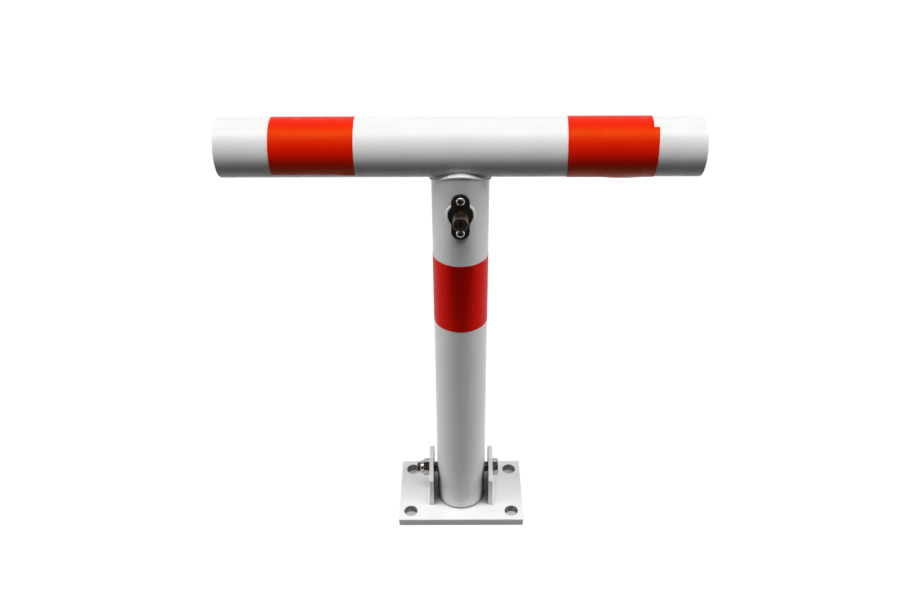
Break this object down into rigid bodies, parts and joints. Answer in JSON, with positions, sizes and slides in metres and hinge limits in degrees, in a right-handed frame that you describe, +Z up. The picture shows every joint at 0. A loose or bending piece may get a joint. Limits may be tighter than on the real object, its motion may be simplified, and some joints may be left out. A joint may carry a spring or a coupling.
{
  "type": "fold-down parking barrier",
  "caption": "T-shaped steel parking post on a bolted base plate: it unlocks with a push lock, lifts and folds flat, with reflective tapes on post and crossbar.",
  "frame": {"origin": "centre of the base plate's underside, on the ground", "axes": "+Z up along the post, +X to the right along the crossbar, the lock faces -Y and the post folds back towards +Y"},
  "size_m": [0.46, 0.1, 0.503],
  "materials": {
    "white_paint": "gloss powder coat",
    "red_tape": "reflective adhesive film",
    "bolt_steel": "zinc plated",
    "nut_steel": "zinc plated, tarnished",
    "nylon": "matte",
    "bare_steel": "mill finish, oiled",
    "lock_black": "black satin plate",
    "plunger_bronze": "dark bronze plate",
    "screw_nickel": "nickel plated",
    "pin_steel": "ground",
    "brass": "machined"
  },
  "bodies": {
    "base": {"base_plate": "white_paint", "left_ear": "white_paint", "right_ear": "white_paint", "left_ear_weld": "white_paint", "right_ear_weld": "white_paint", "hinge_bolt": "bolt_steel", "hinge_nut": "nut_steel", "nut_insert": "nylon"},
    "rod": {"rod_eye": "bare_steel", "lock_rod": "bare_steel", "rod_welds": "bare_steel"},
    "post": {"post_tube": "white_paint", "crossbar": "white_paint", "left_end_cap": "white_paint", "right_end_cap": "white_paint", "junction_weld": "white_paint", "lower_guide": "bare_steel", "upper_guide": "bare_steel", "lock_body": "lock_black", "lock_screws": "screw_nickel", "lock_dowel": "pin_steel", "lock_spring": "pin_steel", "post_tape": "red_tape", "left_bar_tape": "red_tape", "right_bar_tape": "red_tape"},
    "plunger": {"lock_plunger": "plunger_bronze", "lock_pin": "pin_steel", "lock_latch": "brass"},
    "core": {"key_core": "plunger_bronze"}
  },
  "joints": [
    {"name": "fold", "type": "hinge", "parent": "base", "child": "rod", "pos_m": [0, 0.004, 0.045], "axis": [-1, 0, 0], "range_deg": [0, 93]},
    {"name": "lift", "type": "slide", "parent": "rod", "child": "post", "axis": [0, 0, 1], "range_m": [0, 0.0244]},
    {"name": "lock_push", "type": "slide", "parent": "post", "child": "plunger", "axis": [0, 1, 0], "range_m": [0, 0.012], "stiffness_N_per_m": 400, "springref_m": -0.004, "deforming": ["lock_spring"]},
    {"name": "key_turn", "type": "hinge", "parent": "plunger", "child": "core", "pos_m": [0, -0.03, 0.414], "axis": [0, 1, 0], "range_deg": [0, 90]}
  ],
  "couplings": [
    {"joint": "lift", "follows": "fold", "m_per_rad": 0.015}
  ]
}
